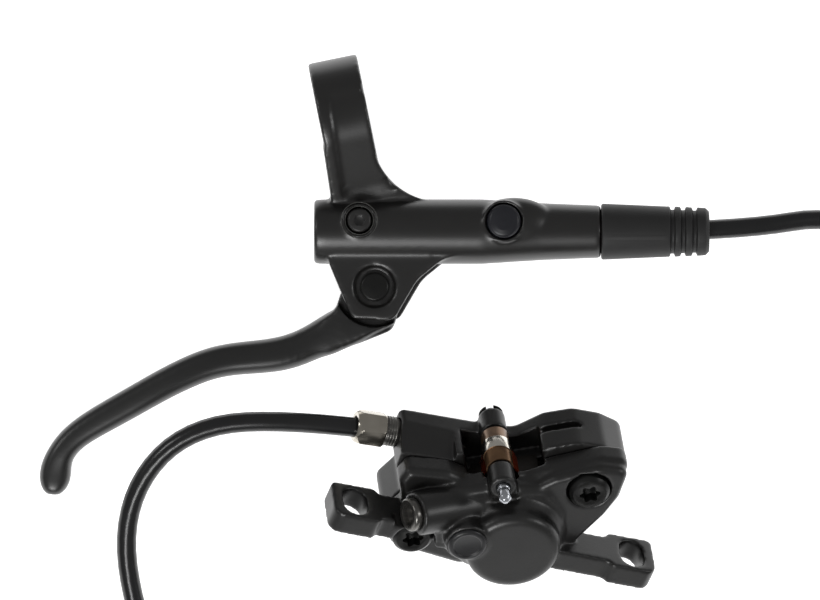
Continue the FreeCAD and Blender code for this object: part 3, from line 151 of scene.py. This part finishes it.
def addNode(tree, kind, settings=None, links=None):
    node = tree.nodes.new(kind)
    for name, value in (settings or {}).items():
        if name in node.inputs:
            node.inputs[name].default_value = value
        else:
            setattr(node, name, value)
    for name, source in (links or {}).items():
        tree.links.new(source, node.inputs[name])
    return node


def startMaterial(name, settings):
    material = bpy.data.materials.new(name)
    material.use_nodes = True
    tree = material.node_tree
    shader = tree.nodes["Principled BSDF"]
    for key, value in settings.items():
        shader.inputs[key].default_value = value
    place = addNode(tree, "ShaderNodeTexCoord")
    return material, tree, shader, place.outputs["Object"]


def finishSurface(tree, shader, place, dark, light, roughLow, roughHigh, patchScale, grainScale,
                  grainDepth):
    # slow patches of tone and gloss, and a fine grain; scales are cycles per metre
    patches = addNode(tree, "ShaderNodeTexNoise", {"Scale": patchScale, "Detail": 4.0}, {"Vector": place})
    tone = addNode(tree, "ShaderNodeMix", {"data_type": "RGBA"}, {"Factor": patches.outputs["Fac"]})
    tone.inputs[6].default_value = toLinear(dark)
    tone.inputs[7].default_value = toLinear(light)
    tree.links.new(tone.outputs[2], shader.inputs["Base Color"])
    gloss = addNode(tree, "ShaderNodeMapRange", {"To Min": roughLow, "To Max": roughHigh},
                    {"Value": patches.outputs["Fac"]})
    tree.links.new(gloss.outputs["Result"], shader.inputs["Roughness"])
    grain = addNode(tree, "ShaderNodeTexNoise", {"Scale": grainScale, "Detail": 2.0}, {"Vector": place})
    bump = addNode(tree, "ShaderNodeBump", {"Strength": 0.35, "Distance": grainDepth},
                   {"Height": grain.outputs["Fac"]})
    tree.links.new(bump.outputs["Normal"], shader.inputs["Normal"])


finishes = {
    # black anodised aluminium, blasted before dyeing: a dark satin with soft wide highlights
    "black_anodised": ({"Metallic": 0.0, "IOR": 1.65}, "0d0c0b", "141312", 0.30, 0.40, 90, 2600, 0.00003),
    # painted highlight: the same anodising made a little paler, for thin rims that stand in for the edge
    # highlights round the bleed port
    "painted_highlight_anodised": ({"Metallic": 0.3, "IOR": 1.7}, "3a3a38", "4e4e4b", 0.28, 0.36, 300, 2600, 0.00001),
    # cold forged blade, tumbled and anodised: a little smoother than the castings
    "forged_blade": ({"Metallic": 0.0, "IOR": 1.65}, "0d0d0c", "141413", 0.34, 0.42, 60, 2200, 0.00002),
    # cast halves, dyed over a slightly coarser skin
    "cast_caliper": ({"Metallic": 0.0, "IOR": 1.6}, "0b0b0a", "131211", 0.32, 0.44, 120, 2000, 0.00005),
    # black oxide on steel screws: oily grey-black
    "black_steel": ({"Metallic": 0.6}, "151515", "232322", 0.28, 0.40, 260, 4000, 0.00002),
    # dark grey moulded plug with a slight sheen
    "grey_plug": ({"IOR": 1.5}, "121318", "191a20", 0.26, 0.36, 200, 3000, 0.00002),
    # moulded rubber: dull, faintly blotched with bloom
    "rubber": ({"IOR": 1.52}, "131313", "1c1c1c", 0.50, 0.64, 130, 2400, 0.00005),
    # acetal bearing resin
    "bearing_plastic": ({"IOR": 1.48}, "b9b5a8", "c4c0b4", 0.4, 0.5, 200, 3000, 0.00002),
    # hard anodised piston alloy: grey with a green cast
    "master_piston_alloy": ({"Metallic": 0.8}, "6f726c", "83867f", 0.3, 0.4, 150, 3000, 0.00001),
    # rolled spring strip, browned by its heat treatment
    "spring_steel": ({"Metallic": 0.9}, "5b4636", "8a6c50", 0.24, 0.38, 260, 3500, 0.00001),
    # painted highlight: a pale, mirror-like band across the middle of the strip, where its curve catches the
    # light
    "painted_highlight_band": ({"Metallic": 1.0}, "d8d2c6", "f2eee6", 0.14, 0.24, 260, 3500, 0.00001),
    # the same strip where it was sheared: raw and coppery
    "copper_edge": ({"Metallic": 0.8}, "7c2a16", "b04a2c", 0.24, 0.36, 260, 3500, 0.00001),
    # oxide rubbed off by the spanner: grey steel with a dull shine
    "rubbed_steel": ({"Metallic": 0.9}, "4c4b49", "7d7b77", 0.22, 0.36, 320, 3500, 0.00001),
    # bright zinc on steel: cool, fairly mirror-like
    "zinc_steel": ({"Metallic": 1.0}, "b7bac0", "d5d8dd", 0.16, 0.28, 220, 3500, 0.00001),
    # nickel plated brass nut: warm bright mirror with fine handling marks
    "nickel": ({"Metallic": 1.0}, "a8a297", "cfc9bd", 0.14, 0.26, 180, 3500, 0.00001),
    # turned brass olive
    "brass": ({"Metallic": 1.0}, "a98445", "c9a35e", 0.25, 0.35, 200, 3000, 0.00001),
    # moulded phenolic piston: brown-black with pale filler flecks
    "piston_resin": ({"IOR": 1.55}, "2a2320", "3a322c", 0.45, 0.6, 700, 2400, 0.00003),
    # stamped backing plate, oiled and nearly black
    "pad_steel": ({"Metallic": 0.7}, "201e1c", "34302c", 0.32, 0.46, 260, 3000, 0.00002),
    # sintered friction block: brown metal grit
    "friction": ({"Metallic": 0.3}, "3a2a22", "6b4e3c", 0.6, 0.8, 900, 1800, 0.00012),
    # moulded black plug in the caliper
    "plug_resin": ({"IOR": 1.5}, "121213", "1c1c1e", 0.28, 0.38, 200, 3000, 0.00002),
    # extruded nylon jacket: even semi-gloss black
    "hose_jacket": ({"IOR": 1.53}, "0e0e0f", "161617", 0.20, 0.30, 120, 1800, 0.00001),
}
materials = {}


def makeMaterials():
    for name, (settings, dark, light, low, high, patch, grain, depth) in finishes.items():
        material, tree, shader, place = startMaterial(name, settings)
        finishSurface(tree, shader, place, dark, light, low, high, patch, grain, depth)
        materials[name] = material


makeMaterials()
brakeHose.data.materials.append(materials["hose_jacket"])
print("materials made:", len(materials))

slotOf = {part["node"]: part["material_slot"] for part in frame["record"]["subparts"]}
bodyOf = {node: body for body, group in frame["record"]["behaviour"]["bodies"].items() for node in group}
finishOf = {"lever_blade": "forged_blade", "outer_half": "cast_caliper", "inner_half": "cast_caliper",
            "pin_clip": "black_steel", "bleed_screw": "black_anodised", "bleed_nipple": "rubbed_steel",
            "port_collar": "rubbed_steel"}
skipped = ("hose_lever_run", "hose_coil", "hose_caliper_run")
weldReach = 0.000002        # metres
turned = {                  # machined and moulded parts: bevel in mm, and angles in degrees
    "bevel": 0.15,
    "edgeAngle": 32,
    "flatAngle": 0.6,
}
castings = {                # cast and forged parts: cell in mm, passes that round the edges off
    "lever_body": (0.39, 16),
    "lever_blade": (0.36, 16),
    "outer_half": (0.355, 18),
    "inner_half": (0.34, 12),
    "reservoir_plug": (0.12, 14),
}
caliper = {                 # the caliper's own frame, in mm: u along its halves, v to the pin, w to the viewer
    "stand": (41.1, -100.55012, -2.47909),
    "turns": (("X", 9.0), ("Z", 9.32), ("X", 41.85)),
}
bolts = {                   # star sockets of the two body bolts: place, head's face, depth, in mm
    "body_bolt_right": (21.2, 10.3, 10.0),
    "body_bolt_left": (-24.3, 5.8, 10.8),
    "depth": 2.6,
    "middle": 2.30,
    "lobe": 0.42,
    "fill": 3.1,
}
spring = {                  # how the folded strip's colours lie along the pin, in mm
    "band": (-3.3, 0.7),
    "pinHeight": 19.5,
    "legs": 3.55,
    "feet": 5.1,
}


def caliperFrame():
    turn = Matrix.Identity(4)
    for axis, angle in caliper["turns"]:
        turn = turn @ Matrix.Rotation(math.radians(angle), 4, axis)
    return Matrix.Translation(Vector(caliper["stand"]) / 1000) @ turn @ Matrix.Scale(0.001, 4)


def setMaterial(piece, name):
    piece.data.materials.clear()
    piece.data.materials.append(materials[name])


def onlySelect(piece):
    bpy.ops.object.select_all(action="DESELECT")
    piece.select_set(True)
    bpy.context.view_layer.objects.active = piece


def applyModifier(piece, kind, **values):
    modifier = piece.modifiers.new(kind.lower(), kind)
    for key, value in values.items():
        setattr(modifier, key, value)
    onlySelect(piece)
    bpy.ops.object.modifier_apply(modifier=modifier.name)


def weldedCopy(name):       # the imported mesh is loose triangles, so its copy is merged first
    piece = nodeObjects[name].copy()
    piece.data = nodeObjects[name].data.copy()
    piece.name = name + "_finished"
    piece.parent = None
    piece.modifiers.clear()
    bpy.context.collection.objects.link(piece)
    onlySelect(piece)
    bpy.ops.object.mode_set(mode="EDIT")
    bpy.ops.mesh.select_all(action="SELECT")
    bpy.ops.mesh.remove_doubles(threshold=weldReach)
    bpy.ops.object.mode_set(mode="OBJECT")
    return piece


def putInPlace(piece, name):
    setMaterial(piece, finishOf.get(name, slotOf[name]))
    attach(piece, bodyOf[name])
    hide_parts(name)


carved = {                  # blocks taken off the castings, as eight corners in the caliper's mm
    "outer_half": (
        # step under the pin's near lug
        ((-3.8, 12.2, 9.3), (3.8, 12.2, 9.3), (3.8, 12.2, 14.0), (-3.8, 12.2, 14.0),
         (-3.8, 15.7, 10.3), (3.8, 15.7, 10.3), (3.8, 15.7, 14.0), (-3.8, 15.7, 14.0)),
    ),
}
leverTilt = 9               # degrees: the lever's face, on which the places below are measured
heel = ((-4.5, -60.7),)     # the blade's heel, and the edge of the window's right wing, in mm
wingEdge = ((52.0, -85.2), (55.0, -85.0), (58.0, -84.6), (61.0, -84.0), (64.0, -83.4))
blended = {                 # places that get extra smoothing, by piece: places, reach in mm, passes
    "lever_blade": ((heel, 11.0, 12), (heel, 9.0, 20), (heel, 7.0, 30), (heel, 5.0, 30)),
    "lever_body": (
        (((-4.0, 4.9), (-1.4, 5.4), (1.2, 6.0), (3.6, 6.5)), 2.1, 25),
        (((2.0, -19.8), (5.0, -19.2), (8.0, -18.6), (11.0, -18.0)), 2.5, 40),
        (((0.0, -35.6), (4.0, -35.6), (8.0, -35.6), (12.0, -35.5), (16.0, -35.4), (20.0, -35.3)),
         2.4, 14)),
    "outer_half": ((wingEdge, 1.8, 15),),
    "inner_half": ((wingEdge, 1.8, 15),),
}


def carve(piece, corners):
    bpy.ops.mesh.primitive_cube_add(size=1)
    block = bpy.context.object
    for corner in block.data.vertices:
        right, high, near = (value > 0 for value in corner.co)
        number = 4 * high + (3 - right if near else right)      # round the low face, then the high one
        corner.co = caliperFrame() @ Vector(corners[number])
    applyModifier(piece, "BOOLEAN", operation="DIFFERENCE", object=block, solver="EXACT")
    bpy.data.objects.remove(block)


def smoothSpots(piece, places, reach, passes):
    level = Matrix.Rotation(math.radians(-leverTilt), 3, "X") @ Matrix.Diagonal((1000, 1000, 1000))
    onlySelect(piece)
    bpy.ops.object.mode_set(mode="EDIT")
    bpy.ops.mesh.select_all(action="DESELECT")
    bpy.ops.object.mode_set(mode="OBJECT")
    for point in piece.data.vertices:
        seen = (level @ point.co).to_2d()
        point.select = any((seen - Vector(place)).length < reach for place in places)
    bpy.ops.object.mode_set(mode="EDIT")
    bpy.ops.mesh.select_mode(type="VERT")
    bpy.ops.mesh.vertices_smooth(factor=0.5, repeat=passes)
    bpy.ops.object.mode_set(mode="OBJECT")


def cutStar(piece, name):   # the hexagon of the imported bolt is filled, and the star is cut in its place
    across, up, face = bolts[name]
    place = caliperFrame() @ Matrix.Translation((across, up, 0))
    bpy.ops.mesh.primitive_cylinder_add(vertices=64, radius=bolts["fill"], depth=bolts["depth"] + 0.4,
                                        location=(0, 0, face - (bolts["depth"] + 0.4) / 2 - 0.001))
    filler = bpy.context.object
    bpy.ops.object.transform_apply(location=True, rotation=True, scale=True)
    bpy.ops.mesh.primitive_cylinder_add(vertices=72, radius=1, depth=bolts["depth"] + 1,
                                        location=(0, 0, face - bolts["depth"] / 2 + 0.5))
    star = bpy.context.object
    bpy.ops.object.transform_apply(location=True, rotation=True, scale=True)
    for corner in star.data.vertices:
        turn = math.atan2(corner.co.y, corner.co.x)
        reach = bolts["middle"] + bolts["lobe"] * math.cos(6 * turn)
        corner.co.x = reach * math.cos(turn)
        corner.co.y = reach * math.sin(turn)
    for tool, operation in ((filler, "UNION"), (star, "DIFFERENCE")):
        tool.data.transform(place)
        applyModifier(piece, "BOOLEAN", operation=operation, object=tool, solver="EXACT")
        bpy.data.objects.remove(tool)


def tintSpring(piece):      # brown strip with a painted highlight band across the middle and coppery legs; its feet get the near-black pad steel as painted shade
    home = caliperFrame().inverted()
    for name in ("painted_highlight_band", "copper_edge", "pad_steel"):
        piece.data.materials.append(materials[name])
    for face in piece.data.polygons:
        place = home @ face.center
        reach = math.hypot(place.x, place.y - spring["pinHeight"])
        # painted shade: the feet, which lie in shadow, take the near-black pad steel
        if abs(place.x) > spring["feet"]:
            face.material_index = 3
        elif place.y < spring["pinHeight"] - 0.6 and abs(place.x) > spring["legs"] - 0.6:
            face.material_index = 2
        # painted highlight: the middle band of the strip, away from the pin
        elif spring["band"][0] < place.z < spring["band"][1] and reach > 3.3:
            face.material_index = 1


def finishTurned(name):
    piece = weldedCopy(name)
    if name in bolts:
        cutStar(piece, name)
        onlySelect(piece)
    bpy.ops.object.mode_set(mode="EDIT")
    bpy.ops.mesh.select_all(action="SELECT")
    bpy.ops.mesh.dissolve_limited(angle_limit=math.radians(turned["flatAngle"]))
    bpy.ops.object.mode_set(mode="OBJECT")
    applyModifier(piece, "BEVEL", width=turned["bevel"] / 1000, segments=2, limit_method="ANGLE",
                  angle_limit=math.radians(turned["edgeAngle"]))
    bpy.ops.object.shade_smooth_by_angle(angle=math.radians(turned["edgeAngle"]))
    putInPlace(piece, name)
    return piece


def finishCasting(name):    # the mould and the tumbling leave every edge and corner rounded
    cell, passes = castings[name]
    piece = weldedCopy(name)
    for corners in carved.get(name, ()):
        carve(piece, corners)
    applyModifier(piece, "REMESH", mode="VOXEL", voxel_size=cell / 1000, adaptivity=0)
    applyModifier(piece, "SMOOTH", factor=0.5, iterations=passes)
    for places, reach, times in blended.get(name, ()):
        smoothSpots(piece, places, reach, times)
    bpy.ops.object.shade_smooth()
    putInPlace(piece, name)
    return piece


trim = {                    # thin rims painted pale as highlights, and thread crests, in mm
    "highlightWire": 0.09,
    "bleedHighlightRims": (4.55, 3.6),
    "bleedPlace": (4.0, -26.5, 8.55),
    "collarWire": 0.30,
    "collarReach": 3.52,
    "collarSteps": (1.7, 2.4, 3.1, 3.8),
    "portPlace": (-23.2, 23.5, -9.6),
    "portAngle": 156.4,
}

finished = {}
for nodeName in nodeObjects:
    if nodeName in castings:
        finished[nodeName] = finishCasting(nodeName)
    elif nodeName not in skipped:
        finished[nodeName] = finishTurned(nodeName)
    if nodeName in castings:
        print(nodeName, "has", len(finished[nodeName].data.polygons), "faces")


def addRings(name, place, rings, wire, finish):
    parts = []
    for reach, along in rings:
        bpy.ops.mesh.primitive_torus_add(major_radius=reach, minor_radius=wire, major_segments=72,
                                         minor_segments=10, location=(0, 0, along))
        ring = bpy.context.object
        bpy.ops.object.transform_apply(location=True, rotation=True, scale=True)
        ring.data.transform(place)
        parts.append(ring)
    bpy.ops.object.select_all(action="DESELECT")
    for ring in parts:
        ring.select_set(True)
    bpy.context.view_layer.objects.active = parts[0]
    bpy.ops.object.join()
    piece = bpy.context.object
    piece.name = name
    bpy.ops.object.shade_smooth()
    setMaterial(piece, finish)
    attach(piece, "brake")


def makeTrim():
    lever = Matrix.Rotation(math.radians(leverTilt), 4, "X") @ Matrix.Scale(0.001, 4)
    x, y, z = trim["bleedPlace"]
    # the bleed port's two thin rims are painted paler, as painted highlights on its edges
    addRings("bleed_port_highlight_rim", lever @ Matrix.Translation((x, y, 0)),
             ((trim["bleedHighlightRims"][0], z), (trim["bleedHighlightRims"][1], z - 0.1)), trim["highlightWire"],
             "painted_highlight_anodised")
    port = (caliperFrame() @ Matrix.Translation(trim["portPlace"])
            @ Matrix.Rotation(math.radians(trim["portAngle"]), 4, "Z")
            @ Matrix.Rotation(math.radians(90), 4, "Y"))
    addRings("collar_thread", port, [(trim["collarReach"], step) for step in trim["collarSteps"]],
             trim["collarWire"], "rubbed_steel")


makeTrim()
tintSpring(finished["pad_spring"])
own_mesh(finished["master_spring"])
print("nodes finished:", len(finished))

studio = {
    "floorSize": 6.0,
    "floorHeight": -0.02126,
    "skyStrength": 0.62,
    "skyGloss": 0.24,
    "tableMiddle": (0.02, -0.10, 0.0),
    "tableReach": (0.16, 0.42),
    "tableGloss": (1.5, 0.2),
    "tableWhite": 0.72,
    "lampAim": (0.02, -0.06, 0),
    # name, place, size, power in watts
    "lamps": (
        ("front_softbox", (-0.25, -1.0, 0.80), 0.40, 6.6),
        ("left_softbox", (-1.1, 0.25, 1.0), 0.30, 2.0),
        ("right_softbox", (1.25, -0.1, 0.75), 0.30, 2.4),
    ),
}


def makeFloor():
    bpy.ops.mesh.primitive_plane_add(size=studio["floorSize"], location=(0, 0, studio["floorHeight"]))
    floor = bpy.context.object
    floor.name = "studio_floor"
    material = bpy.data.materials.new("studio_paper")
    material.use_nodes = True
    tree = material.node_tree
    paper = tree.nodes["Principled BSDF"]
    paper.inputs["Roughness"].default_value = 0.9
    paper.inputs["Base Color"].default_value = toLinear("f4f4f4")
    out = tree.nodes["Material Output"]
    rays = addNode(tree, "ShaderNodeLightPath")
    fibre = addNode(tree, "ShaderNodeTexNoise", {"Scale": 800.0})
    bump = addNode(tree, "ShaderNodeBump", {"Strength": 0.05, "Distance": 0.0001},
                   {"Height": fibre.outputs["Fac"]})
    tree.links.new(bump.outputs["Normal"], paper.inputs["Normal"])
    white = addNode(tree, "ShaderNodeEmission", {"Color": (1, 1, 1, 1), "Strength": studio["tableWhite"]})
    both = addNode(tree, "ShaderNodeAddShader")
    tree.links.new(paper.outputs["BSDF"], both.inputs[0])
    tree.links.new(white.outputs["Emission"], both.inputs[1])
    mix = addNode(tree, "ShaderNodeMixShader")
    tree.links.new(rays.outputs["Is Camera Ray"], mix.inputs["Fac"])
    tree.links.new(paper.outputs["BSDF"], mix.inputs[1])
    tree.links.new(both.outputs["Shader"], mix.inputs[2])
    place = addNode(tree, "ShaderNodeTexCoord")         # the table's white ends a little way off
    far = addNode(tree, "ShaderNodeVectorMath", {"operation": "DISTANCE"})
    tree.links.new(place.outputs["Object"], far.inputs[0])
    far.inputs[1].default_value = studio["tableMiddle"]
    fall = addNode(tree, "ShaderNodeMapRange", {"From Min": studio["tableReach"][0],
                                                "From Max": studio["tableReach"][1],
                                                "To Min": studio["tableGloss"][0],
                                                "To Max": studio["tableGloss"][1]},
                   {"Value": far.outputs["Value"]})
    sheen = addNode(tree, "ShaderNodeEmission", {"Color": (1, 1, 1, 1)}, {"Strength": fall.outputs["Result"]})
    last = addNode(tree, "ShaderNodeMixShader")
    tree.links.new(rays.outputs["Is Glossy Ray"], last.inputs["Fac"])
    tree.links.new(mix.outputs["Shader"], last.inputs[1])
    tree.links.new(sheen.outputs["Emission"], last.inputs[2])
    tree.links.new(last.outputs["Shader"], out.inputs["Surface"])
    floor.data.materials.append(material)


def makeWorld():
    world = bpy.data.worlds.new("studio_sky")
    bpy.context.scene.world = world
    world.use_nodes = True
    tree = world.node_tree
    rays = addNode(tree, "ShaderNodeLightPath")
    back = tree.nodes["Background"]
    back.inputs["Color"].default_value = (1, 1, 1, 1)
    gloss = addNode(tree, "ShaderNodeMapRange",
                    {"To Min": studio["skyStrength"], "To Max": studio["skyGloss"]},
                    {"Value": rays.outputs["Is Glossy Ray"]})
    seen = addNode(tree, "ShaderNodeMath", {"operation": "MAXIMUM"})
    tree.links.new(gloss.outputs["Result"], seen.inputs[0])
    tree.links.new(rays.outputs["Is Camera Ray"], seen.inputs[1])
    tree.links.new(seen.outputs["Value"], back.inputs["Strength"])


def makeLamps():
    aim = Vector(studio["lampAim"])
    for name, place, size, power in studio["lamps"]:
        bpy.ops.object.light_add(type="AREA", location=place)
        lamp = bpy.context.object
        lamp.name = name
        lamp.data.size = size
        lamp.data.energy = power
        lamp.rotation_euler = (aim - Vector(place)).to_track_quat("-Z", "Y").to_euler()


makeFloor()
makeWorld()
makeLamps()
bpy.context.scene.view_settings.view_transform = "Standard"
print("studio lit")

bpy.context.view_layer.update()
